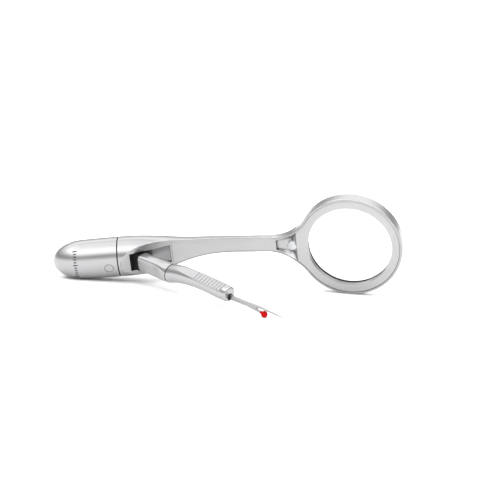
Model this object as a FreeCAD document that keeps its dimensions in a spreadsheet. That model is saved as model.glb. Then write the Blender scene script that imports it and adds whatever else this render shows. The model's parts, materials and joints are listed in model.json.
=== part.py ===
# Folding seam ripper with a lighted magnifier: a bullet-shaped battery handle, a slim arm,
# a lens ring with a lamp beside it, and a hinged ripper that folds down along the arm.
#
# Tool frame while building: x runs from the battery end to the lens, y runs across the arm,
# z comes out of the lens face. Its origin is the middle of the lens ring.
# At the end every sub-part gets one common Placement that stands the tool on its three
# points of contact: the cap's underside, the ring's rim and the ball on the short prong.
import FreeCAD, Part
import math
import os
import re

import Sketcher
from FreeCAD import Placement, Rotation, Vector

os.makedirs("parts", exist_ok=True)
doc = FreeCAD.newDocument("MagnifierRipper")
sheet = doc.addObject("Spreadsheet::Sheet", "Dims")

DIMENSIONS = {
    # lens ring
    "ring_radius": 23.8,
    "ring_half": 3.1,
    "face_radius": 22.45,
    "seam_gap": 0.2,
    "window_radius": 19.1,
    "lens_radius": 20.2,
    "lens_edge": 2.0,
    "lens_bulge": 1.6,
    "lens_seat": 0.9,
    "gasket_inner": 18.8,
    "gasket_depth": 1.5,
    # arm and cover
    "arm_half_width": 3.8,
    "arm_front": 0.6,
    "flare_start": 36.0,
    "cover_half_width": 3.15,
    "cover_floor": -0.4,
    "cover_start": 80.3,
    "cover_sink": 0.22,
    "ramp_end": 24.0,
    # battery handle
    "joint_x": -103.9,
    "joint_z": 12.3,
    "bullet_tilt": 9.6,
    "bullet_radius": 9.1,
    "cap_length": 31.0,
    "nose_length": 14.5,
    "nose_radius": 8.9,
    "cap_bore": 6.85,
    "cap_bore_depth": 25.0,
    "seal_thickness": 0.5,
    "cell_radius": 5.8,
    "cell_height": 5.4,
    "sleeve_radius": 6.5,
    "sleeve_wall": 0.55,
    "sleeve_foot": 2.0,
    "contact_thickness": 0.4,
    # hinge
    "pivot_x": -97.0,
    "pivot_z": 14.1,
    "slot_half": 4.2,
    "slot_left": -97.6,
    "slot_right": -81.0,
    "pocket_radius": 3.6,
    "pin_radius": 0.8,
    "pin_clearance": 0.05,
    "pin_half": 5.75,
    "knuckle_radius": 3.1,
    "knuckle_half": 3.75,
    "neck_half_height": 2.5,
    "washer_thickness": 0.35,
    # ripper, measured along its own axis from the pivot
    "open_angle": 34.0,
    "stub_start": 6.5,
    "stub_end": 25.6,
    "stub_half_width": 3.85,
    "stub_half_height": 3.1,
    "swivel_radius": 4.3,
    "swivel_gap": 0.5,
    "seam_recess": 0.25,
    "spigot_radius": 1.8,
    "spigot_start": 17.0,
    "spigot_end": 31.5,
    "handle_end": 63.4,
    "facet_turn": 74.0,
    "blade_root": 54.0,
    "blade_tip": 97.5,
    "blade_thickness": 1.0,
    "ball_radius": 1.45,
    "ball_x": 84.0,
    "ball_side": 1.8,
    # lamp
    "lamp_radius": 2.4,
    "lamp_body": 2.6,
    "lamp_x": -26.2,
    "lamp_z": 0.35,
    "lamp_tilt": 8.0,
    "lamp_clearance": 0.08,
    # stance
    "stance_pitch": 4.777,
    "stance_lean": 17.237,
}
for row, (alias, value) in enumerate(DIMENSIONS.items(), start=1):
    sheet.set("A%d" % row, alias)
    sheet.set("B%d" % row, str(value))
    sheet.setAlias("B%d" % row, alias)
doc.recompute()


def dim(alias):
    """A driving dimension, read from the sheet."""
    return float(sheet.get(alias))


X_AXIS = Vector(1, 0, 0)
Y_AXIS = Vector(0, 1, 0)
Z_AXIS = Vector(0, 0, 1)
parts = []
frames = {}


def keep(item, label, frame):
    """Names a finished sub-part and remembers the local frame it was drawn in."""
    item.Label = label
    parts.append(item)
    frames[item.Name] = frame
    return item


# ---------------------------------------------------------------- local frames
TOOL = Placement()
# Along the battery handle's axis: local x points from the cap joint to the nose.
BULLET = Placement(
    Vector(dim("joint_x"), 0, dim("joint_z")),
    Rotation(Y_AXIS, 180 + dim("bullet_tilt")),
)
# Along the ripper's axis: local x points from the hinge pin to the tip.
RIPPER = Placement(
    Vector(dim("pivot_x"), 0, dim("pivot_z")),
    Rotation(Y_AXIS, -dim("open_angle")),
)


# ---------------------------------------------------------------- drawing helpers
def plane_of(body, role):
    """One of the body's own origin planes."""
    for feature in body.Origin.OriginFeatures:
        if feature.Role == role:
            return feature
    raise ValueError(role)


def outline(body, role, corners):
    """A closed outline of straight edges. Each corner is a pair of sheet expressions."""
    sketch = body.newObject("Sketcher::SketchObject", body.Name + "Sketch")
    sketch.AttachmentSupport = [(plane_of(body, role), "")]
    sketch.MapMode = "FlatFace"
    places = [Vector(sheet.evalExpression(a), sheet.evalExpression(b), 0) for a, b in corners]
    count = len(places)
    for i in range(count):
        sketch.addGeometry(Part.LineSegment(places[i], places[(i + 1) % count]), False)
    for i in range(count):
        sketch.addConstraint(Sketcher.Constraint("Coincident", i, 2, (i + 1) % count, 1))
    for i, (a, b) in enumerate(corners):
        for kind, text, value in (("DistanceX", a, places[i].x), ("DistanceY", b, places[i].y)):
            number = sketch.addConstraint(Sketcher.Constraint(kind, -1, 1, i, 1, value))
            sketch.setExpression("Constraints[%d]" % number, tied(text))
    return sketch


def tied(text):
    """The expression with each of the sheet's aliases written as Dims.alias."""
    return re.sub(r"[a-z_]+", lambda word: "Dims." + word.group(), text)


def turned(label, frame, corners):
    """A piece of revolution about local x, from its half section: pairs of (x, radius)."""
    body = doc.addObject("PartDesign::Body", label.title().replace("_", ""))
    sketch = outline(body, "XY_Plane", corners)
    revolution = body.newObject("PartDesign::Revolution", body.Name + "Turn")
    revolution.Profile = sketch
    revolution.ReferenceAxis = (sketch, ["H_Axis"])
    revolution.Angle = 360
    sketch.Visibility = False
    doc.recompute()
    return keep(body, label, frame)


def solid(label, frame, shape):
    """A piece whose skin no single feature makes."""
    item = doc.addObject("Part::Feature", label.title().replace("_", ""))
    item.Shape = shape
    return keep(item, label, frame.multiply(item.Placement))


def prism(corners, low, high, across=Z_AXIS):
    """A straight-sided block on a polygon, from low to high along the across axis."""
    points = [c + across * low for c in corners]
    face = Part.Face(Part.makePolygon(points + points[:1]))
    return face.extrude(across * (high - low))


def superellipse(centre, half_side, half_height, power, tilt, count=40):
    """A closed smooth section across the handle: power 2 is an ellipse, more is squarer."""
    up = Rotation(Y_AXIS, tilt).multVec(Z_AXIS)
    points = []
    for i in range(count):
        turn = 2 * math.pi * i / count
        c, q = math.cos(turn), math.sin(turn)
        side = half_side * math.copysign(abs(c) ** (2 / power), c)
        rise = half_height * math.copysign(abs(q) ** (2 / power), q)
        points.append(centre + Y_AXIS * side + up * rise)
    curve = Part.BSplineCurve()
    curve.interpolate(points, PeriodicFlag=True)
    return Part.Wire(curve.toShape())


# ---------------------------------------------------------------- housing, as one outer skin
def bullet_point(along):
    """A point on the battery handle's axis, measured from the cap joint towards the arm."""
    return BULLET.multVec(Vector(-along, 0, 0))


def handle_loft():
    """From the round cap joint to the flat arm: the sides draw in, the back runs straight."""
    radius = dim("bullet_radius")
    tilt = dim("bullet_tilt")
    # distance from the joint, half width, squareness
    round_stations = ((0, radius, 2.0), (7, 9.0, 2.0), (15, 8.2, 2.1), (23, 6.8, 2.3), (30, 5.4, 2.6))
    sections = [
        superellipse(bullet_point(along), half, radius, power, tilt)
        for along, half, power in round_stations
    ]
    # the arm stays this much inside the flare that it runs into
    inset = 0.04
    even = dim("arm_half_width") - inset
    back = inset - dim("ring_half")
    # x, half width, top, squareness, tilt
    arm_stations = (
        (-66.5, 4.3, 14.0, 3.2, 6.0),
        (-58.0, 3.9, 10.0, 4.0, 2.0),
        (-48.0, even, 7.0, 5.0, 0.0),
        (-33.0, even, 7.0, 5.0, 0.0),
    )
    for x, half, top, power, lean in arm_stations:
        centre = Vector(x, 0, (top + back) / 2)
        sections.append(superellipse(centre, half, (top - back) / 2, power, lean))
    return Part.makeLoft(sections, True, False)


def flip(v):
    """The same point on the other side of the arm."""
    return Vector(v.x, -v.y, v.z)


def flared_face(radius, half_width, start, level):
    """The ring's disc joined to the arm's strip by two concave arcs tangent to both."""
    arc_radius = (start ** 2 + half_width ** 2 - radius ** 2) / (2 * (radius - half_width))
    arc_centre = Vector(-start, half_width + arc_radius, 0)
    foot = Vector(-start, half_width, 0)
    touch = arc_centre * (radius / (radius + arc_radius))
    direction = ((touch + foot) * 0.5 - arc_centre).normalize()
    middle = arc_centre + direction * arc_radius
    edges = [
        Part.Arc(foot, middle, touch).toShape(),
        Part.Arc(touch, Vector(radius, 0, 0), flip(touch)).toShape(),
        Part.Arc(flip(touch), flip(middle), flip(foot)).toShape(),
        Part.makeLine(flip(foot), foot),
    ]
    face = Part.Face(Part.Wire(edges))
    face.translate(Vector(0, 0, level))
    return face


def scoop_cutter():
    """Everything in front of the arm and the slanted front of the handle."""
    level = dim("arm_front")
    slope_start = Vector(-101.5, 0, 20.9)
    slope_end = Vector(-78.0, 0, 7.6)
    arc_end = Vector(-52.0, 0, level)
    arc_middle = Vector(-65.6, 0, 2.55)
    ceiling = 40.0
    ramp_top = Vector(-dim("ramp_end"), 0, dim("ring_half"))
    edges = [
        Part.makeLine(slope_start, slope_end),
        Part.Arc(slope_end, arc_middle, arc_end).toShape(),
        Part.makeLine(arc_end, Vector(-dim("flare_start"), 0, level)),
        Part.makeLine(Vector(-dim("flare_start"), 0, level), ramp_top),
        Part.makeLine(ramp_top, Vector(30, 0, dim("ring_half"))),
        Part.makeLine(Vector(30, 0, dim("ring_half")), Vector(30, 0, ceiling)),
        Part.makeLine(Vector(30, 0, ceiling), Vector(-101.5, 0, ceiling)),
        Part.makeLine(Vector(-101.5, 0, ceiling), slope_start),
    ]
    face = Part.Face(Part.Wire(edges))
    face.translate(Vector(0, -30, 0))
    return face.extrude(Vector(0, 60, 0))


RIM_ROUNDING = 0.7
LIP_ROUNDING = 0.4


def lamp_recess():
    """The tapered hollow in front of the ring that the lamp shines out of."""
    end = -dim("ramp_end")
    floor = [Vector(-33.6, 2.2, 0.15), Vector(-26.2, 3.0, 0.15)]
    mouth = [Vector(-34.6, 2.8, 4.0), Vector(end + 0.9, 8.4, 4.0)]

    def loop(pair):
        near, far = pair
        corners = [near, far, Vector(far.x, -far.y, far.z), Vector(near.x, -near.y, near.z)]
        return Part.makePolygon(corners + corners[:1])

    return Part.makeLoft([loop(floor), loop(mouth)], True, True)


def outer_skin():
    """The whole housing as one solid, before it is split and hollowed."""
    half = dim("ring_half")
    slab = flared_face(dim("ring_radius"), dim("arm_half_width"), dim("flare_start"), -half)
    slab = slab.extrude(Vector(0, 0, 2 * half)).cut(scoop_cutter())
    rim = [
        edge
        for edge in slab.Edges
        if edge.BoundBox.XLength > 1 and edge.BoundBox.YLength > 1 and lies_on_rim(edge)
    ]
    slab = slab.makeFillet(RIM_ROUNDING, rim)
    arm = handle_loft().cut(scoop_cutter())
    lip = [edge for edge in arm.Edges if lies_on_lip(edge)]
    arm = arm.makeFillet(LIP_ROUNDING, lip)
    return arm.fuse(slab).cut(lamp_recess())


def middle_of(edge):
    """The point halfway along an edge."""
    return edge.valueAt((edge.FirstParameter + edge.LastParameter) / 2)


def lies_on_rim(edge):
    """An edge of the ring or flare that runs round its outline, front or back."""
    middle = middle_of(edge)
    on_back = abs(middle.z + dim("ring_half")) < 0.01
    on_front = middle.z > dim("arm_front") and (abs(middle.y) > 0.5 or middle.x > 0)
    return on_back or on_front


def lies_on_lip(edge):
    """An edge where the slanted front or the arm's face meets the sides."""
    middle = middle_of(edge)
    beside = 1 < abs(middle.y) < dim("bullet_radius") - 1
    return beside and -100 < middle.x < -33.5 and edge.Length > 3


def cover_strip(half_width, start, floor):
    """The arm's share of the cover: it widens and climbs with the slanted front."""
    spread = half_width - dim("cover_half_width")
    side = Part.BSplineCurve()
    # x, half width: even along the arm, then opening out towards the hinge slot
    stations = ((-36.0, 3.15), (-48.0, 3.15), (-58.0, 3.3), (-67.0, 3.8), (-74.0, 4.75), (-start, 6.0))
    points = [Vector(x, half + spread, 0) for x, half in stations]
    side.interpolate(points)
    upper = side.toShape()
    lower = upper.mirror(Vector(), Y_AXIS)
    first, last = points[0], points[-1]
    ends = [
        Part.makeLine(last, Vector(last.x, -last.y, 0)),
        Part.makeLine(Vector(first.x, -first.y, 0), first),
    ]
    plan = Part.Face(Part.Wire(Part.__sortEdges__([upper, lower] + ends)))
    ceiling = 30.0
    plan_block = plan.extrude(Vector(0, 0, ceiling - floor))
    plan_block.translate(Vector(0, 0, floor))
    under = [
        Vector(-start - 1, 0, ceiling),
        Vector(-start - 1, 0, 7.5),
        Vector(-start + 2.5, 0, 5.6),
        Vector(-70.0, 0, 1.3),
        Vector(-62.0, 0, 0.0),
        Vector(-56.0, 0, floor),
        Vector(-30.0, 0, floor),
        Vector(-30.0, 0, ceiling),
    ]
    return plan_block.common(prism(under, -20, 20, Y_AXIS))


def cover_block(radius, half_width, start, floor, step):
    """The space that the front cover fills, with room to spare above it."""
    top = 12.0
    plan = flared_face(radius, half_width, dim("flare_start"), floor)
    block = plan.extrude(Vector(0, 0, top - floor))
    seat = Part.makeCylinder(step, dim("lens_seat") - floor + 1, Vector(0, 0, floor - 1))
    return cover_strip(half_width, start, floor).fuse(block).cut(seat)


def wire_path(side):
    """The lead's route: under the cover, then up through the handle to the battery contact."""
    start = Vector(-35.45, side, -1.2)
    bend_in = Vector(-64.0, side, -1.2)
    bend_out = Vector(-71.9, side, -0.2)
    end = Vector(-101.7, side, 7.4)
    slope = (end - bend_out).normalize()
    corner = Vector(bend_in.x - 4.0, side, -1.2)
    bend_out = corner + slope * 4.0
    middle = bend_in * 0.25 + corner * 0.5 + bend_out * 0.25
    edges = [
        Part.makeLine(start, bend_in),
        Part.Arc(bend_in, middle, bend_out).toShape(),
        Part.makeLine(bend_out, end),
    ]
    return Part.Wire(edges)


def along_path(path, radius):
    """A round bar of that radius swept along a path that starts along x."""
    start = path.Vertexes[0].Point
    circle = Part.Wire(Part.makeCircle(radius, start, X_AXIS))
    return path.makePipeShell([circle], True, True)


def hinge_slot():
    """The slot that the ripper swings in, open to the front, with a sloping floor."""
    left, right = dim("slot_left"), dim("slot_right")
    corners = [
        Vector(left, 0, 30),
        Vector(left, 0, 10.3),
        Vector(left + 6, 0, 10.2),
        Vector(right, 0, 8.9),
        Vector(right + 0.5, 0, 30),
    ]
    slot = prism(corners, -dim("slot_half"), dim("slot_half"), Y_AXIS)
    pocket = Part.makeCylinder(
        dim("pocket_radius"),
        2 * dim("slot_half"),
        Vector(dim("pivot_x"), -dim("slot_half"), dim("pivot_z")),
        Y_AXIS,
    )
    return slot.fuse(pocket)


def pin_shape(radius, half):
    """A plain bar on the hinge axis."""
    return Part.makeCylinder(
        radius, 2 * half, Vector(dim("pivot_x"), -half, dim("pivot_z")), Y_AXIS
    )


def in_bullet(shape):
    """A shape drawn on the battery handle's axis, put where it belongs in the tool frame."""
    moved = shape.copy()
    moved.Placement = BULLET.multiply(moved.Placement)
    return moved


# The lamp's own axis: local x leaves the ring and rises a little from the arm.
LAMP_AXIS = Placement(
    Vector(dim("lamp_x"), 0, dim("lamp_z")), Rotation(Y_AXIS, 180 + dim("lamp_tilt"))
)


def lamp_shape(room):
    """The lamp's flanged body and dome, grown all round by some room."""
    radius = dim("lamp_radius") + room
    length = dim("lamp_body") + room
    flange = Part.makeCylinder(radius + 0.25, 0.7 + room, Vector(-length, 0, 0), X_AXIS)
    body = Part.makeCylinder(radius, length, Vector(-length, 0, 0), X_AXIS)
    dome = Part.makeSphere(radius, Vector(), X_AXIS, -90, 90, 360)
    lamp = body.fuse([flange, dome]).removeSplitter()
    lamp.Placement = LAMP_AXIS
    return lamp


SCREW_SPOTS = (Vector(-24.9, 6.0, -dim("ring_half")), Vector(-24.9, -6.0, -dim("ring_half")))
SCREW_RADIUS = 0.7
SCREW_HEAD = 1.25
SCREW_LENGTH = 4.2

skin = outer_skin()
window = Part.makeCone(
    dim("gasket_inner"), dim("window_radius"), 2.3, Vector(0, 0, dim("lens_seat") - 0.1)
)

# front cover, sunk a little below the housing's rim
cover = skin.copy()
cover.translate(Vector(0, 0, -dim("cover_sink")))
cover = cover.common(
    cover_block(
        dim("face_radius"),
        dim("cover_half_width"),
        dim("cover_start"),
        dim("cover_floor"),
        dim("face_radius") + 0.02,
    )
)
lamp_seat = lamp_shape(dim("lamp_clearance"))
screw_bores = [Part.makeCylinder(SCREW_RADIUS, SCREW_LENGTH, spot) for spot in SCREW_SPOTS]
screw_seats = [Part.makeCylinder(SCREW_HEAD + 0.1, 0.7, spot) for spot in SCREW_SPOTS]
cover = cover.cut([window, lamp_seat] + screw_bores)

# rear housing: everything else, with its seats and channels cut out
seam = dim("seam_gap")
lens_bore = Part.makeCylinder(
    dim("lens_radius"),
    30,
    Vector(0, 0, dim("lens_seat") - dim("lens_edge") - dim("gasket_depth")),
)
rear_mouth = Part.makeCone(
    dim("gasket_inner") + 1.0, dim("gasket_inner") + 0.2, 2.0, Vector(0, 0, -dim("ring_half"))
)
sleeve_seat = in_bullet(
    Part.makeCylinder(dim("sleeve_radius"), 10, Vector(-dim("sleeve_foot"), 0, 0), X_AXIS)
)
channels = [along_path(wire_path(0.0), 1.35)]
board_seat = Part.makeBox(6.8, 4.6, 1.9, Vector(-35.7, -2.3, -2.0))
rear = skin.cut(
    cover_block(
        dim("face_radius") + seam,
        dim("cover_half_width") + 0.06,
        dim("cover_start") + 0.06,
        dim("cover_floor"),
        dim("face_radius") - seam,
    )
)
rear = rear.cut(
    [lens_bore, rear_mouth, sleeve_seat, hinge_slot(), board_seat, lamp_seat]
    + [pin_shape(dim("pin_radius"), dim("pin_half"))]
    + channels
)
rear = rear.cut(screw_bores + screw_seats)
solid("rear_housing", TOOL, rear)
solid("front_cover", TOOL, cover)


# ---------------------------------------------------------------- lens and its gasket
def lens_shape():
    """A biconvex disc: two shallow domes on a straight edge."""
    edge, bulge, dome_edge = dim("lens_edge"), dim("lens_bulge"), dim("gasket_inner")
    top = dim("lens_seat")
    bottom = top - edge
    dome_radius = (dome_edge ** 2 + bulge ** 2) / (2 * bulge)
    front = Part.makeSphere(dome_radius, Vector(0, 0, top + bulge - dome_radius), X_AXIS)
    back = Part.makeSphere(dome_radius, Vector(0, 0, bottom - bulge + dome_radius), X_AXIS)
    core = Part.makeCylinder(dome_edge, edge + 2 * bulge, Vector(0, 0, bottom - bulge))
    rim = Part.makeCylinder(dim("lens_radius") - 0.05, edge, Vector(0, 0, bottom))
    return core.common(front).common(back).fuse(rim).removeSplitter()


solid("lens", TOOL, lens_shape())
LENS_AXIS = Placement(Vector(), Rotation(Y_AXIS, -90))
turned(
    "lens_gasket",
    LENS_AXIS,
    [
        ("lens_seat - lens_edge - gasket_depth", "gasket_inner"),
        ("lens_seat - lens_edge", "gasket_inner"),
        ("lens_seat - lens_edge", "lens_radius"),
        ("lens_seat - lens_edge - gasket_depth", "lens_radius"),
    ],
)


# ---------------------------------------------------------------- lamp, board and leads


def lead_frame_shape():
    """The two posts inside the lamp: a wide one with the cup for the chip, and a thin one."""
    foot = -dim("lamp_body")
    anvil = Part.makeBox(1.6, 1.3, 0.5, Vector(-1.3, -1.05, -0.25))
    anvil_leg = Part.makeBox(-1.3 - foot, 0.5, 0.5, Vector(foot, -0.8, -0.25))
    cup = Part.makeCone(0.25, 0.45, 0.4, Vector(-0.1, -0.4, 0), X_AXIS)
    post = Part.makeBox(0.8, 0.6, 0.5, Vector(-1.3, 0.6, -0.25))
    post_leg = Part.makeBox(-1.3 - foot, 0.5, 0.5, Vector(foot, 0.6, -0.25))
    frame = Part.makeCompound([anvil.fuse(anvil_leg).cut(cup), post.fuse(post_leg)])
    frame.Placement = LAMP_AXIS
    return frame


solid("led_lead_frame", TOOL, lead_frame_shape())
solid("led_lamp", TOOL, lamp_shape(0.0).cut(lead_frame_shape()))
solid("led_circuit_board", TOOL, Part.makeBox(5.4, 4.2, 0.6, Vector(-35.4, -2.1, -1.95)))
solid("resistor", TOOL, Part.makeBox(1.6, 0.8, 0.5, Vector(-33.4, -1.7, -1.35)))
leads = [along_path(wire_path(side), 0.4) for side in (-0.6, 0.6)]
solid("lead_wires", TOOL, Part.makeCompound(leads))


def screw(spot):
    """A pan screw with a cross recess, driven from the back, its head a little sunk."""
    shank = Part.makeCylinder(SCREW_RADIUS, SCREW_LENGTH, spot)
    head = Part.makeCylinder(SCREW_HEAD, 0.6, spot + Z_AXIS * 0.1)
    recess_a = Part.makeBox(1.7, 0.4, 0.45, spot - Vector(0.85, 0.2, 0))
    recess_b = Part.makeBox(0.4, 1.7, 0.45, spot - Vector(0.2, 0.85, 0))
    proud = Part.makeCylinder(SCREW_HEAD, 0.1, spot)
    return shank.fuse(head).cut([recess_a, recess_b, proud])


solid("housing_screws", TOOL, Part.makeCompound([screw(spot) for spot in SCREW_SPOTS]))


# ---------------------------------------------------------------- battery handle contents
turned(
    "cap_seal_ring",
    BULLET,
    [
        ("0", "sleeve_radius + 0.02"),
        ("0", "bullet_radius - seam_recess"),
        ("seal_thickness", "bullet_radius - seam_recess"),
        ("seal_thickness", "sleeve_radius + 0.02"),
    ],
)
turned(
    "battery_sleeve",
    BULLET,
    [
        ("-sleeve_foot", "sleeve_radius - sleeve_wall"),
        ("-sleeve_foot", "sleeve_radius"),
        ("18.6", "sleeve_radius"),
        ("19.2", "sleeve_radius - 0.3"),
        ("19.2", "sleeve_radius - sleeve_wall"),
    ],
)
turned(
    "front_contact_plate",
    BULLET,
    [
        ("-sleeve_foot", "0"),
        ("-sleeve_foot", "cell_radius - 0.3"),
        ("contact_thickness - sleeve_foot", "cell_radius - 0.3"),
        ("contact_thickness - sleeve_foot", "2"),
        ("1.3", "1.4"),
        ("1.3", "0"),
    ],
)


def cell_corners(start):
    """A button cell's half section: the can, and the smaller face on its negative side."""
    face = "%s + 0.5" % start
    end = "%s + cell_height" % start
    return [
        (start, "0"),
        (start, "cell_radius - 1.4"),
        (face, "cell_radius - 0.9"),
        (face, "cell_radius"),
        (end, "cell_radius"),
        (end, "0"),
    ]


for number in range(3):
    turned("button_cell_%d" % (number + 1), BULLET, cell_corners("1.4 + %d * cell_height" % number))


# The cap's contact is a dished spring washer whose hub presses on the last cell.
turned(
    "cap_contact_spring",
    BULLET,
    [
        ("1.5 + 3 * cell_height", "0"),
        ("1.5 + 3 * cell_height", "1.6"),
        ("2.2 + 3 * cell_height", "1.8"),
        ("4.6 + 3 * cell_height", "4.7"),
        ("5.0 + 3 * cell_height", "4.6"),
        ("2.6 + 3 * cell_height", "1.5"),
        ("1.9 + 3 * cell_height", "1.2"),
        ("1.9 + 3 * cell_height", "0"),
    ],
)


def cap_shape():
    """The cap: a gentle taper, then an elliptical nose, bored out for the cells."""
    start = dim("seal_thickness") + 0.05
    length, nose = dim("cap_length"), dim("nose_length")
    shoulder = length - nose
    nose_curve = Part.Ellipse(Vector(shoulder, 0, 0), nose, dim("nose_radius"))
    quarter = Part.ArcOfEllipse(nose_curve, 0, math.pi / 2).toShape()
    side = Part.Arc(
        Vector(shoulder, dim("nose_radius"), 0),
        Vector(shoulder / 2, dim("bullet_radius") - 0.03, 0),
        Vector(start, dim("bullet_radius"), 0),
    ).toShape()
    edges = [
        quarter,
        side,
        Part.makeLine(Vector(start, dim("bullet_radius"), 0), Vector(start, 0, 0)),
        Part.makeLine(Vector(start, 0, 0), Vector(length, 0, 0)),
    ]
    body = Part.Face(Part.Wire(Part.__sortEdges__(edges))).revolve(Vector(), X_AXIS, 360)
    bore = Part.makeCylinder(dim("cap_bore"), dim("cap_bore_depth"), Vector(0, 0, 0), X_AXIS)
    taper = Part.makeCone(dim("cap_bore"), 5.0, 5.0, Vector(20.0, 0, 0), X_AXIS)
    straight = Part.makeCylinder(dim("cap_bore"), 20.0, Vector(0, 0, 0), X_AXIS)
    return body.cut(straight.fuse(taper).common(bore))


solid("battery_cap", BULLET, cap_shape())


# ---------------------------------------------------------------- hinge
PIN_AXIS = Placement(Vector(dim("pivot_x"), 0, dim("pivot_z")), Rotation(Z_AXIS, 90))
turned(
    "hinge_pin",
    PIN_AXIS,
    [
        ("-pin_half", "0"),
        ("-pin_half", "pin_radius - 0.2"),
        ("0.2 - pin_half", "pin_radius"),
        ("pin_half - 0.2", "pin_radius"),
        ("pin_half", "pin_radius - 0.2"),
        ("pin_half", "0"),
    ],
)
for name, sign in (("lower", "-1"), ("upper", "1")):
    inner = "%s * ( knuckle_half + 0.03 )" % sign
    outer = "%s * ( knuckle_half + 0.03 + washer_thickness )" % sign
    turned(
        "friction_washer_" + name,
        PIN_AXIS,
        [
            (inner, "pin_radius + 0.05"),
            (inner, "knuckle_radius - 0.3"),
            (outer, "knuckle_radius - 0.3"),
            (outer, "pin_radius + 0.05"),
        ],
    )


# ---------------------------------------------------------------- ripper arm
def ripper_section(along, half_side, half_height, power):
    """A section square to the ripper's axis."""
    return superellipse(Vector(along, 0, 0), half_side, half_height, power, 0)


def stub_shape():
    """A squared root in the slot that rounds off to meet the swivel."""
    side, rise, round_radius = (
        dim("stub_half_width"),
        dim("stub_half_height"),
        dim("swivel_radius"),
    )
    start, end = dim("stub_start"), dim("stub_end")
    squareness = 4.5
    blend_length = 10.0
    spans = 12
    sections = []
    # evenly spaced, so that the skin runs straight up to where the blend begins
    for i in range(spans + 1):
        along = start + (end - start) * i / spans
        part_way = max(0.0, 1 - (end - along) / blend_length)
        share = part_way ** 2 * (3 - 2 * part_way)
        sections.append(
            ripper_section(
                along,
                side + (round_radius - side) * share,
                rise + (round_radius - rise) * share,
                squareness + (2 - squareness) * share,
            )
        )
    body = Part.makeLoft(sections, True, False)
    knuckle_room = Part.makeCylinder(
        dim("knuckle_radius"), 20, Vector(0, -10, 0), Y_AXIS
    )
    bore = Part.makeCylinder(
        dim("spigot_radius"), 30, Vector(dim("spigot_start"), 0, 0), X_AXIS
    )
    return body.cut([knuckle_room, bore])


def knuckle_shape():
    """The black barrel that turns on the pin."""
    half = dim("knuckle_half")
    barrel = Part.makeCylinder(dim("knuckle_radius"), 2 * half, Vector(0, -half, 0), Y_AXIS)
    bore_radius = dim("pin_radius") + dim("pin_clearance")
    bore = Part.makeCylinder(bore_radius, 20, Vector(0, -10, 0), Y_AXIS)
    reach = dim("stub_start")
    rise = dim("neck_half_height")
    neck = Part.makeBox(reach, 2 * half - 0.2, 2 * rise, Vector(0, 0.1 - half, -rise))
    return barrel.fuse(neck).cut(bore).removeSplitter()


solid("hinge_knuckle", RIPPER, knuckle_shape())
solid("stub_sleeve", RIPPER, stub_shape())
turned(
    "swivel_ring",
    RIPPER,
    [
        ("stub_end", "spigot_radius"),
        ("stub_end", "swivel_radius - seam_recess"),
        ("stub_end + swivel_gap - 0.05", "swivel_radius - seam_recess"),
        ("stub_end + swivel_gap - 0.05", "spigot_radius"),
    ],
)
turned(
    "handle_spigot",
    RIPPER,
    [
        ("spigot_start", "0"),
        ("spigot_start", "spigot_radius"),
        ("spigot_end - 0.6", "spigot_radius"),
        ("spigot_end", "spigot_radius - 0.6"),
        ("spigot_end", "0"),
    ],
)


# ---------------------------------------------------------------- ripper handle and blade
# distance along the axis, radius, sideways bow: the grip is fullest where it leaves the swivel
HANDLE_STATIONS = (
    (27.6, 4.25, 0.4),
    (30.0, 4.1, 1.0),
    (33.0, 3.98, 1.5),
    (37.0, 3.8, 1.85),
    (43.0, 3.6, 2.05),
    (49.0, 3.58, 1.95),
    (55.0, 3.65, 1.6),
    (60.0, 3.55, 1.3),
)
HANDLE_END_RADIUS = 3.35
HANDLE_END_BOW = 1.15
NOSE_ROUNDING = 1.1
FACET_START = 29.0
FACET_DEPTH = 0.65
RIB_COUNT = 10
RIB_FIRST = 43.9
RIB_PITCH = 1.8
RIB_RADIUS = 0.42
RIB_RISE = 0.18


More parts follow.
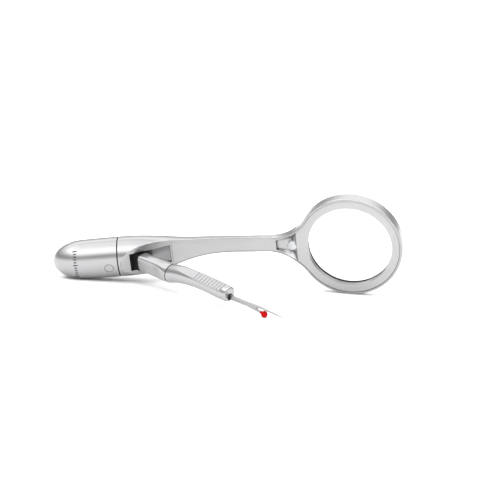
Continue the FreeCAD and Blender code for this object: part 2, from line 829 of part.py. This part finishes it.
def handle_shape():
    """A bowed, waisted grip with a flat ribbed facet, a blunt nose and bores at both ends."""
    start = dim("stub_end") + dim("swivel_gap")
    end = dim("handle_end")
    spine = Part.BSplineCurve()
    # each point holds the distance along the axis, the bow and the radius
    places = [Vector(start, 0, dim("swivel_radius"))]
    places += [Vector(along, bow, radius) for along, radius, bow in HANDLE_STATIONS]
    places.append(Vector(end, HANDLE_END_BOW, HANDLE_END_RADIUS))
    spine.interpolate(places)
    spans = 16
    samples = [spine.value(spine.LastParameter * i / spans) for i in range(spans + 1)]
    loops = [Part.Wire(Part.makeCircle(at.z, Vector(at.x, at.y, 0), X_AXIS)) for at in samples]
    body = Part.makeLoft(loops, True, False)
    nose = [edge for edge in body.Edges if edge.BoundBox.XMin > end - 0.01]
    body = body.makeFillet(NOSE_ROUNDING, nose)

    # heights above the swivel's axis, square to the facet
    lean = math.sin(math.radians(dim("facet_turn")))
    first_height = 3.7 - FACET_DEPTH + 2.0 * lean
    last_height = 3.55 - FACET_DEPTH + HANDLE_END_BOW * lean
    flat_start, flat_end = 40.0, end - 3.0
    slope = (last_height - first_height) / (flat_end - flat_start)
    facet = prism(
        [
            Vector(FACET_START, 0, dim("swivel_radius") + 1.1),
            Vector(flat_start, 0, first_height),
            Vector(flat_end, 0, last_height),
            Vector(end - 0.8, 0, last_height + 3),
        ],
        -8,
        8,
        Y_AXIS,
    )
    grooves = []
    for i in range(RIB_COUNT):
        along = RIB_FIRST + RIB_PITCH * i
        height = first_height + slope * (along - flat_start) + RIB_RISE
        grooves.append(Part.makeCylinder(RIB_RADIUS, 16, Vector(along, -8, height), Y_AXIS))
    cutter = facet.fuse(grooves)
    cutter.rotate(Vector(), X_AXIS, -dim("facet_turn"))
    spigot_bore = Part.makeCylinder(
        dim("spigot_radius") + dim("pin_clearance"),
        dim("spigot_end") - start + 0.5,
        Vector(start, 0, 0),
        X_AXIS,
    )
    collet_bore = Part.makeCylinder(
        1.5, end, Vector(dim("blade_root") - 2, 0, 0), X_AXIS
    )
    return body.cut([cutter, spigot_bore, collet_bore])


solid("ripper_handle", RIPPER, handle_shape())


def blade_shape():
    """A flat forked blade: a long pointed prong and a short prong that carries the ball."""
    root, tip = dim("blade_root"), dim("blade_tip")
    crotch = Vector(79.6, 0.05, 0)
    ball = Vector(dim("ball_x"), -dim("ball_side"), 0)
    corners = [
        Vector(root, -1.1, 0),
        Vector(74.0, -1.0, 0),
        Vector(78.2, -1.55, 0),
        ball + Vector(0.2, -0.32, 0),
        ball + Vector(0.2, 0.32, 0),
        Vector(80.6, -0.75, 0),
        crotch,
        Vector(81.2, 0.35, 0),
        Vector(90.0, 0.1, 0),
        Vector(tip, -0.02, 0),
        Vector(91.0, 0.75, 0),
        Vector(82.0, 1.2, 0),
        Vector(74.0, 1.0, 0),
        Vector(root, 1.1, 0),
    ]
    half = dim("blade_thickness") / 2
    blade = prism(corners, -half, half)
    # thins towards the tip
    wedge = [
        Vector(78.0, 0, half),
        Vector(tip + 0.1, 0, 0.14),
        Vector(tip + 0.1, 0, 3),
        Vector(78.0, 0, 3),
    ]
    upper = prism(wedge, -5, 5, Y_AXIS)
    lower = upper.mirror(Vector(), Z_AXIS)
    return blade.cut([upper, lower])


solid("ripper_blade", RIPPER, blade_shape())


def collet_shape():
    """A split plastic plug that grips the blade inside the handle's nose."""
    start = dim("blade_root") - 2
    plug = Part.makeCylinder(1.5, dim("handle_end") - 0.5 - start, Vector(start, 0, 0), X_AXIS)
    half = dim("blade_thickness") / 2
    slit = Part.makeBox(20, 2.2, 2 * half, Vector(dim("blade_root"), -1.1, -half))
    return plug.cut(slit)


solid("blade_collet", RIPPER, collet_shape())


def ball_shape():
    """The moulded safety ball, drawn out to a short neck on the prong."""
    place = Vector(dim("ball_x"), -dim("ball_side"), 0)
    ball = Part.makeSphere(dim("ball_radius"), place)
    neck_start = Vector(80.9, -1.35, 0)
    direction = place - neck_start
    neck = Part.makeCone(0.45, 1.2, direction.Length - 0.5, neck_start, direction)
    return ball.fuse(neck).cut(blade_shape()).removeSplitter()


solid("safety_ball", RIPPER, ball_shape())


# ---------------------------------------------------------------- stance and export
doc.recompute()
pitch = math.radians(dim("stance_pitch"))
lean = math.radians(dim("stance_lean"))
up = Vector(
    math.sin(pitch), math.cos(pitch) * math.cos(lean), -math.cos(pitch) * math.sin(lean)
)
forward = (X_AXIS - up * up.x).normalize()
aside = up.cross(forward)
stance = Rotation(forward, aside, up, "ZXY").inverted()

low = Vector(1e9, 1e9, 1e9)
high = low * -1
for item in parts:
    item.Placement = Placement(Vector(), stance).multiply(frames[item.Name])
    box = item.Shape.optimalBoundingBox(False)
    low = Vector(*map(min, low, Vector(box.XMin, box.YMin, box.ZMin)))
    high = Vector(*map(max, high, Vector(box.XMax, box.YMax, box.ZMax)))
shift = Vector(-(low.x + high.x) / 2, -(low.y + high.y) / 2, -low.z)
standing = Placement(shift, stance)
for item in parts:
    item.Placement = standing.multiply(frames[item.Name])
doc.recompute()

for item in doc.Objects:
    if {"Invalid", "Error"} & set(item.State):
        raise RuntimeError("%s: %s" % (item.Label, item.State))
for item in parts:
    if item.Shape.isNull() or not item.Shape.isValid():
        raise RuntimeError("%s has no valid shape" % item.Label)
    item.Shape.exportStep("parts/%s.step" % item.Label)
    print("%-24s %2d solid %9.1f mm3" % (item.Label, len(item.Shape.Solids), item.Shape.Volume))

print("size", high - low)
print("ring centre", standing.multVec(Vector()))
print("pivot", standing.multVec(Vector(dim("pivot_x"), 0, dim("pivot_z"))))
print("cap joint", standing.multVec(BULLET.Base))
print("swivel", standing.multiply(RIPPER).multVec(Vector(dim("stub_end"), 0, 0)))
for name, axis in (("x", X_AXIS), ("y", Y_AXIS), ("z", Z_AXIS)):
    print("tool", name, stance.multVec(axis))
print("bullet axis", stance.multiply(BULLET.Rotation).multVec(X_AXIS))
print("ripper axis", stance.multiply(RIPPER.Rotation).multVec(X_AXIS))
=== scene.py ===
import json
import math

import bmesh
import bpy
from mathutils import Matrix, Vector


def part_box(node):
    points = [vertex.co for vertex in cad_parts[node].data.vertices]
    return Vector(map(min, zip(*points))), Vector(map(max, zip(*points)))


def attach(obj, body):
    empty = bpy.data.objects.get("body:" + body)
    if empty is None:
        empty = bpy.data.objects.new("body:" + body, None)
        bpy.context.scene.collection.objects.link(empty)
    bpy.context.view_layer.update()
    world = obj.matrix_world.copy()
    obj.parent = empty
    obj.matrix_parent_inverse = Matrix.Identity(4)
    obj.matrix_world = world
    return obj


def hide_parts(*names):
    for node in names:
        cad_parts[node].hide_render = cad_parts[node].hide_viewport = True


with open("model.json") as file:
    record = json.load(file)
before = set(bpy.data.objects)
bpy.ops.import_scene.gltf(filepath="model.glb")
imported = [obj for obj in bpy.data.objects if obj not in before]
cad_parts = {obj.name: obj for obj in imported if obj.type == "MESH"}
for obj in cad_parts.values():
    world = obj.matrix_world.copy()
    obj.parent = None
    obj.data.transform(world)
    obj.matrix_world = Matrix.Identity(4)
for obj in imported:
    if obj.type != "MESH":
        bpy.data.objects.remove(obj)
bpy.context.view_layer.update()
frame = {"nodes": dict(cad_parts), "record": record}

MM = 0.001
NODES = frame["nodes"]

# ------------------------------------------------------------------ the tool's own directions
JOINTS = {joint["name"]: joint for joint in frame["record"]["behaviour"]["joints"]}
MOUNTS = {mount["name"]: mount for mount in frame["record"]["mounts"]}


def middle(node):
    """The middle of a CAD node's box."""
    low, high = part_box(node)
    return (Vector(low) + Vector(high)) / 2


ACROSS = -Vector(JOINTS["ripper_fold"]["axis"])
OUT = -Vector(MOUNTS["ring_back"]["axis"])
LENS_MIDDLE_OFFSET = 0.1 * MM
RING_CENTRE = middle("lens") + OUT * LENS_MIDDLE_OFFSET
HINGE = Vector(JOINTS["ripper_fold"]["pos_m"])
RIPPER_AXIS = Vector(JOINTS["handle_swivel"]["axis"])
CAP_JOINT = Vector(JOINTS["cap_twist"]["pos_m"])
CAP_AXIS = Vector(JOINTS["cap_twist"]["axis"])


# ------------------------------------------------------------------ materials
def node_tree(name):
    """A new node material, its node tree and its shader."""
    material = bpy.data.materials.new(name)
    material.use_nodes = True
    tree = material.node_tree
    return material, tree, tree.nodes["Principled BSDF"]


def mottle(tree, scale, low, high):
    """Noise in object space, mapped to a range of colour."""
    place = tree.nodes.new("ShaderNodeTexCoord")
    noise = tree.nodes.new("ShaderNodeTexNoise")
    noise.inputs["Scale"].default_value = scale
    noise.inputs["Detail"].default_value = 4.0
    ramp = tree.nodes.new("ShaderNodeValToRGB")
    ramp.color_ramp.elements[0].position = 0.3
    ramp.color_ramp.elements[1].position = 0.7
    ramp.color_ramp.elements[0].color = (*low, 1)
    ramp.color_ramp.elements[1].color = (*high, 1)
    tree.links.new(place.outputs["Object"], noise.inputs["Vector"])
    tree.links.new(noise.outputs["Fac"], ramp.inputs["Fac"])
    return noise, ramp


def grain(tree, shader, scale, strength, distance):
    """A fine bump over the surface."""
    place = tree.nodes.new("ShaderNodeTexCoord")
    noise = tree.nodes.new("ShaderNodeTexNoise")
    noise.inputs["Scale"].default_value = scale
    noise.inputs["Detail"].default_value = 3.0
    bump = tree.nodes.new("ShaderNodeBump")
    bump.inputs["Strength"].default_value = strength
    bump.inputs["Distance"].default_value = distance
    tree.links.new(place.outputs["Object"], noise.inputs["Vector"])
    tree.links.new(noise.outputs["Fac"], bump.inputs["Height"])
    tree.links.new(bump.outputs["Normal"], shader.inputs["Normal"])


GRAIN_SCALE = 4200.0
GRAIN_DEPTH = 0.02 * MM
# how far the painted shade that darkens grooves and slots reaches
GROOVE_SHADE_REACH = 1.2 * MM


def painted_hollow_shade(tree, colour, reach):
    """The colour with painted shade: darker inside a piece's own grooves and slots narrower than the
    reach.
    """
    hollow = tree.nodes.new("ShaderNodeAmbientOcclusion")
    hollow.samples = 12
    hollow.only_local = True
    hollow.inputs["Distance"].default_value = reach
    depth = tree.nodes.new("ShaderNodeMapRange")
    depth.inputs["From Min"].default_value = 0.55
    depth.inputs["From Max"].default_value = 0.96
    depth.inputs["To Min"].default_value = 0.1
    shade = tree.nodes.new("ShaderNodeVectorMath")
    shade.operation = "SCALE"
    tree.links.new(hollow.outputs["AO"], depth.inputs["Value"])
    tree.links.new(colour, shade.inputs[0])
    tree.links.new(depth.outputs["Result"], shade.inputs["Scale"])
    return shade.outputs["Vector"]


def surface(
    name, colour, metallic, roughness, spread=0.012, patch=60.0, bump=0.03, specular=0.5, hollow_shade_reach=0.0
):
    """A finish with slight colour mottling, uneven gloss and a fine grain.

    Where the reach for painted shade isn't zero, grooves and slots narrower than it are painted darker,
    as shade.
    """
    material, tree, shader = node_tree(name)
    low = [max(0.0, c * (1 - spread)) for c in colour]
    high = [min(1.0, c * (1 + spread)) for c in colour]
    noise, ramp = mottle(tree, patch, low, high)
    tint = ramp.outputs["Color"]
    # painted shade: grooves and slots are darkened in the colour itself
    if hollow_shade_reach:
        tint = painted_hollow_shade(tree, tint, hollow_shade_reach)
    tree.links.new(tint, shader.inputs["Base Color"])
    gloss = tree.nodes.new("ShaderNodeMapRange")
    gloss.inputs["To Min"].default_value = roughness * 0.88
    gloss.inputs["To Max"].default_value = roughness * 1.12
    tree.links.new(noise.outputs["Fac"], gloss.inputs["Value"])
    tree.links.new(gloss.outputs["Result"], shader.inputs["Roughness"])
    shader.inputs["Metallic"].default_value = metallic
    shader.inputs["Specular IOR Level"].default_value = specular
    grain(tree, shader, GRAIN_SCALE, bump, GRAIN_DEPTH)
    return material


def clear(name, colour, roughness, ior, transmission=1.0):
    """A clear moulding, or a milky one if it lets less light through."""
    material, tree, shader = node_tree(name)
    ramp = mottle(tree, 30.0, [c * 0.995 for c in colour], colour)[1]
    tree.links.new(ramp.outputs["Color"], shader.inputs["Base Color"])
    shader.inputs["Transmission Weight"].default_value = transmission
    shader.inputs["Roughness"].default_value = roughness
    shader.inputs["IOR"].default_value = ior
    return material


# the two silver paints carry painted shade in their grooves and slots
SILVER = surface("satin_silver_paint", (0.37, 0.37, 0.375), 0.88, 0.24, hollow_shade_reach=GROOVE_SHADE_REACH)
SILVER_FACE = surface("satin_silver_face", (0.41, 0.41, 0.414), 0.75, 0.34, hollow_shade_reach=GROOVE_SHADE_REACH)
STEEL = surface("polished_steel", (0.40, 0.40, 0.41), 1.0, 0.22, patch=400.0)
BLADE = surface("ground_steel", (0.33, 0.33, 0.335), 1.0, 0.3, patch=500.0, bump=0.15)
BLACK = surface("black_moulding", (0.006, 0.006, 0.006), 0.0, 0.5, spread=0.2, specular=0.15)
RUBBER = surface("black_rubber", (0.01, 0.01, 0.01), 0.0, 0.6, spread=0.2, specular=0.15)
CHROME = surface("bright_plating", (0.86, 0.86, 0.87), 1.0, 0.08)
BRASS = surface("plated_brass", (0.72, 0.6, 0.36), 1.0, 0.25)
GREEN = surface("solder_mask", (0.02, 0.16, 0.06), 0.0, 0.35)
RED = surface("red_gloss", (0.40, 0.0005, 0.0005), 0.0, 0.4, specular=0.08)
WIRE_RED = surface("red_insulation", (0.45, 0.02, 0.02), 0.0, 0.4)
LENS = clear("clear_acrylic", (1.0, 1.0, 1.0), 0.0, 1.49)
LAMP = clear("milky_epoxy", (0.95, 0.96, 0.98), 0.12, 1.5, transmission=0.55)

FINISHES = {
    "rear_housing": SILVER,
    "battery_cap": SILVER,
    "stub_sleeve": SILVER,
    "ripper_handle": SILVER,
    "front_cover": SILVER_FACE,
    "lens": LENS,
    "lens_gasket": RUBBER,
    "cap_seal_ring": RUBBER,
    "swivel_ring": RUBBER,
    "led_lamp": LAMP,
    "led_lead_frame": CHROME,
    "led_circuit_board": GREEN,
    "resistor": BLACK,
    "lead_wires": WIRE_RED,
    "housing_screws": STEEL,
    "battery_sleeve": BLACK,
    "front_contact_plate": BRASS,
    "cap_contact_spring": BRASS,
    "button_cell_1": STEEL,
    "button_cell_2": STEEL,
    "button_cell_3": STEEL,
    "hinge_pin": STEEL,
    "handle_spigot": STEEL,
    "friction_washer_lower": BLACK,
    "friction_washer_upper": BLACK,
    "hinge_knuckle": BLACK,
    "blade_collet": BLACK,
    "ripper_blade": BLADE,
    "safety_ball": RED,
}
for node_name, finish in FINISHES.items():
    for material_slot in NODES[node_name].material_slots:
        material_slot.material = finish


# ------------------------------------------------------------------ pieces of its own
def add_piece(name, build, material, body):
    """A new mesh object from a bmesh, smooth shaded, riding on a body."""
    mesh = bpy.data.meshes.new(name)
    build.to_mesh(mesh)
    build.free()
    for polygon in mesh.polygons:
        polygon.use_smooth = True
    piece = bpy.data.objects.new(name, mesh)
    bpy.context.collection.objects.link(piece)
    mesh.materials.append(material)
    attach(piece, body)
    return piece


def lathe(profile, origin, axis, steps=48):
    """A solid of revolution: profile is (distance along the axis, radius), ends on the axis."""
    build = bmesh.new()
    side = axis.orthogonal().normalized()
    other = axis.cross(side)
    rings = []
    for along, radius in profile:
        centre = origin + axis * along
        if radius == 0:
            rings.append([build.verts.new(centre)])
            continue
        ring = []
        for i in range(steps):
            turn = 2 * math.pi * i / steps
            offset = side * math.cos(turn) + other * math.sin(turn)
            ring.append(build.verts.new(centre + offset * radius))
        rings.append(ring)
    for near, far in zip(rings, rings[1:]):
        for i in range(steps):
            j = (i + 1) % steps
            corners = [near[i % len(near)], near[j % len(near)], far[j % len(far)], far[i % len(far)]]
            unique = list(dict.fromkeys(corners))
            build.faces.new(unique)
    bmesh.ops.recalc_face_normals(build, faces=build.faces)
    return build


BALL_ALONG = 84.0 * MM
BALL_ASIDE = 1.8 * MM
BALL_RADIUS = 1.45 * MM
BALL_TAIL = 3.3 * MM


def add_safety_ball():
    """The moulded red ball, drawn out smoothly into a pointed tail on its prong."""
    centre = HINGE + RIPPER_AXIS * BALL_ALONG - ACROSS * BALL_ASIDE
    tail = (RIPPER_AXIS - ACROSS * 0.15).normalized()
    profile = [(-BALL_TAIL, 0.0), (-BALL_TAIL + 0.15 * MM, 0.34 * MM)]
    blend_steps = 8
    for i in range(blend_steps + 1):
        share = i / blend_steps
        along = -BALL_TAIL * 0.9 + share * (BALL_TAIL * 0.9 - 0.85 * BALL_RADIUS)
        radius = 0.42 * MM + share ** 1.7 * 0.34 * BALL_RADIUS
        profile.append((along, radius))
    arc_steps = 20
    first = math.radians(138)
    for i in range(arc_steps):
        turn = first * (1 - i / arc_steps)
        profile.append((BALL_RADIUS * math.cos(turn), BALL_RADIUS * math.sin(turn)))
    profile.append((BALL_RADIUS, 0.0))
    piece = add_piece("ball_moulding", lathe(profile, centre, tail), RED, "ripper")
    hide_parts("safety_ball")


def on_skin(node, place, inward):
    """Where a ray from outside meets a CAD node, and the skin's outward normal there."""
    item = NODES[node]
    to_item = item.matrix_world.inverted()
    start = to_item @ place
    direction = (to_item.to_3x3() @ inward).normalized()
    hit, spot, normal, _ = item.ray_cast(start, direction)
    if not hit:
        raise ValueError("nothing to print on at " + node)
    return item.matrix_world @ spot, (item.matrix_world.to_3x3() @ normal).normalized()


def printed(name, node, body, strokes, width, points):
    """Printed lines on the cap's skin. A stroke is a list of (distance, turn) along it."""
    build = bmesh.new()
    start = CAP_AXIS.cross(ACROSS).normalized()
    if start.dot(OUT) < 0:
        start = -start
    film = 0.02 * MM

    def skin_point(along, turn):
        direction = Matrix.Rotation(turn, 3, CAP_AXIS) @ start
        axis_point = CAP_JOINT + CAP_AXIS * along
        spot, normal = on_skin(node, axis_point + direction * 20 * MM, -direction)
        return spot, normal

    for (along_a, turn_a), (along_b, turn_b) in strokes:
        rows = []
        for i in range(points):
            share = i / (points - 1)
            along = along_a + (along_b - along_a) * share
            turn = turn_a + (turn_b - turn_a) * share
            spot, normal = skin_point(along, turn)
            ahead, _ = skin_point(
                along + (along_b - along_a) * 0.01, turn + (turn_b - turn_a) * 0.01
            )
            across = normal.cross(ahead - spot).normalized() * width / 2
            low, high = spot - normal * film, spot + normal * film
            row = [low - across, low + across, high + across, high - across]
            rows.append([build.verts.new(corner) for corner in row])
        for near, far in zip(rows, rows[1:]):
            for k in range(4):
                build.faces.new([near[k], near[(k + 1) % 4], far[(k + 1) % 4], far[k]])
        build.faces.new(rows[0][::-1])
        build.faces.new(rows[-1])
    bmesh.ops.recalc_face_normals(build, faces=build.faces)
    return add_piece(name, build, PRINT, body)


def add_prints():
    """A generic row of ticks round the cap, and a round index mark by the joint."""
    ticks = []
    first, pitch = math.radians(-34), math.radians(8.5)
    for i in range(11):
        turn = first + pitch * i
        reach = 0.6 * MM if i % 5 else 1.0 * MM
        middle_along = 19.6 * MM
        ticks.append(((middle_along - reach, turn), (middle_along + reach, turn)))
    printed("cap_ticks", "battery_cap", "cap", ticks, 0.5 * MM, 3)
    sides = 14
    centre_along, centre_turn = 4.5 * MM, math.radians(-8)
    size = 2.0 * MM
    skin_radius = 9.1 * MM
    loop = []
    for i in range(sides + 1):
        turn = 2 * math.pi * i / sides
        loop.append(
            (
                centre_along + size * math.cos(turn),
                centre_turn + size * math.sin(turn) / skin_radius,
            )
        )
    printed("cap_index_ring", "battery_cap", "cap", list(zip(loop, loop[1:])), 0.2 * MM, 2)


PRINT = surface("dark_print", (0.02, 0.02, 0.02), 0.0, 0.6, spread=0.3, specular=0.1)
add_safety_ball()
add_prints()


# ------------------------------------------------------------------ stage, light and camera
def add_floor():
    """A plain pale floor under the tool."""
    mesh = bpy.data.meshes.new("floor")
    half = 4.0
    corners = [(-half, -half, 0), (half, -half, 0), (half, half, 0), (-half, half, 0)]
    mesh.from_pydata(corners, [], [(0, 1, 2, 3)])
    floor = bpy.data.objects.new("floor", mesh)
    bpy.context.collection.objects.link(floor)
    mesh.materials.append(surface("pale_floor", (0.97, 0.97, 0.97), 0.0, 0.9, spread=0.01, specular=0.0))


# height of the direction, brightness
ROOM_BANDS = (
    (0.0, 0.8),
    (0.1, 0.38),
    (0.3, 0.17),
    (0.5, 0.42),
    (0.7, 1.0),
    (0.84, 0.8),
    (1.0, 0.36),
)
ROOM_STRENGTH = 2.4


def set_world():
    """A studio room: bright near the floor, a dim band, a bright ring above it, a dim ceiling."""
    world = bpy.data.worlds.new("studio")
    bpy.context.scene.world = world
    world.use_nodes = True
    tree = world.node_tree
    place = tree.nodes.new("ShaderNodeTexCoord")
    split = tree.nodes.new("ShaderNodeSeparateXYZ")
    ramp = tree.nodes.new("ShaderNodeValToRGB")
    tree.links.new(place.outputs["Generated"], split.inputs["Vector"])
    tree.links.new(split.outputs["Z"], ramp.inputs["Fac"])
    elements = ramp.color_ramp.elements
    while len(elements) < len(ROOM_BANDS):
        elements.new(0.5)
    for element, (height, level) in zip(elements, ROOM_BANDS):
        element.position = height
        element.color = (level, level, level, 1)
    tree.links.new(ramp.outputs["Color"], tree.nodes["Background"].inputs["Color"])
    tree.nodes["Background"].inputs["Strength"].default_value = ROOM_STRENGTH


def add_sun(name, elevation, azimuth, angle, energy):
    """A very wide soft sun: elevation above the floor, azimuth from -Y towards +X, in degrees."""
    light = bpy.data.lights.new(name, "SUN")
    light.energy = energy
    light.angle = math.radians(angle)
    item = bpy.data.objects.new(name, light)
    bpy.context.collection.objects.link(item)
    rise, turn = math.radians(elevation), math.radians(azimuth)
    towards = Vector(
        (math.cos(rise) * math.sin(turn), -math.cos(rise) * math.cos(turn), math.sin(rise))
    )
    item.rotation_euler = towards.to_track_quat("Z", "Y").to_euler()


CAMERA_AZIMUTH = math.radians(12.79)
CAMERA_ELEVATION = math.radians(10.46)
CAMERA_ROLL = math.radians(2.55)
CAMERA_DISTANCE = 0.7599
CAMERA_LENS = 127.5
AIM_FROM_RING = Vector((-48.14, -10.96, -0.18)) * MM


def add_camera():
    """The camera: a long lens, low in front of the tool, rolled a little."""
    lens = bpy.data.cameras.new("camera")
    lens.lens = CAMERA_LENS
    lens.sensor_width = 36
    lens.clip_start = 0.01
    camera = bpy.data.objects.new("camera", lens)
    bpy.context.collection.objects.link(camera)
    back = Vector(
        (
            math.cos(CAMERA_ELEVATION) * math.sin(CAMERA_AZIMUTH),
            -math.cos(CAMERA_ELEVATION) * math.cos(CAMERA_AZIMUTH),
            math.sin(CAMERA_ELEVATION),
        )
    )
    level = Vector((math.cos(CAMERA_AZIMUTH), math.sin(CAMERA_AZIMUTH), 0))
    right = Matrix.Rotation(CAMERA_ROLL, 3, back) @ level
    up = back.cross(right)
    pose = Matrix((right, up, back)).transposed().to_4x4()
    pose.translation = RING_CENTRE + AIM_FROM_RING + back * CAMERA_DISTANCE
    camera.matrix_world = pose
    bpy.context.scene.camera = camera


add_floor()
set_world()
add_sun("key", 66, -12, 80, 1.2)
add_sun("side", 56, 60, 60, 0.6)
bpy.context.scene.view_settings.view_transform = "Standard"
add_camera()
